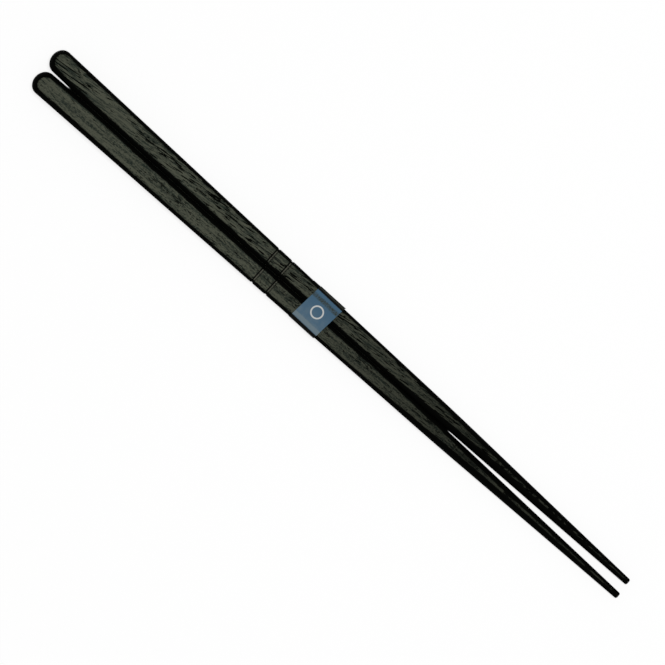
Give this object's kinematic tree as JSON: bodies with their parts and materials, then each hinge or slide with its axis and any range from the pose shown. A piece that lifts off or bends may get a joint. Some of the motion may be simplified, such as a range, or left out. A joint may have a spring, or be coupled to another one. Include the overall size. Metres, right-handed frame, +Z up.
{
  "type": "pair of chopsticks",
  "caption": "Matched dark wooden chopsticks with soft square grips, domed butts, fine cut rings and round tapered tips, held side by side by a lapped blue paper band.",
  "frame": {"origin": "on the table, below the middle of the pair's box", "axes": "+X from the butts to the tips, +Y towards the left stick, +Z up from the table"},
  "size_m": [0.2305, 0.0156, 0.0077],
  "materials": {
    "dark_wood": "black stained open grain, satin oiled",
    "band_paper": "blue printed paper, matte"
  },
  "bodies": {
    "root": {"chopstick_left": "dark_wood", "chopstick_right": "dark_wood", "paper_band": "band_paper"}
  },
  "joints": []
}
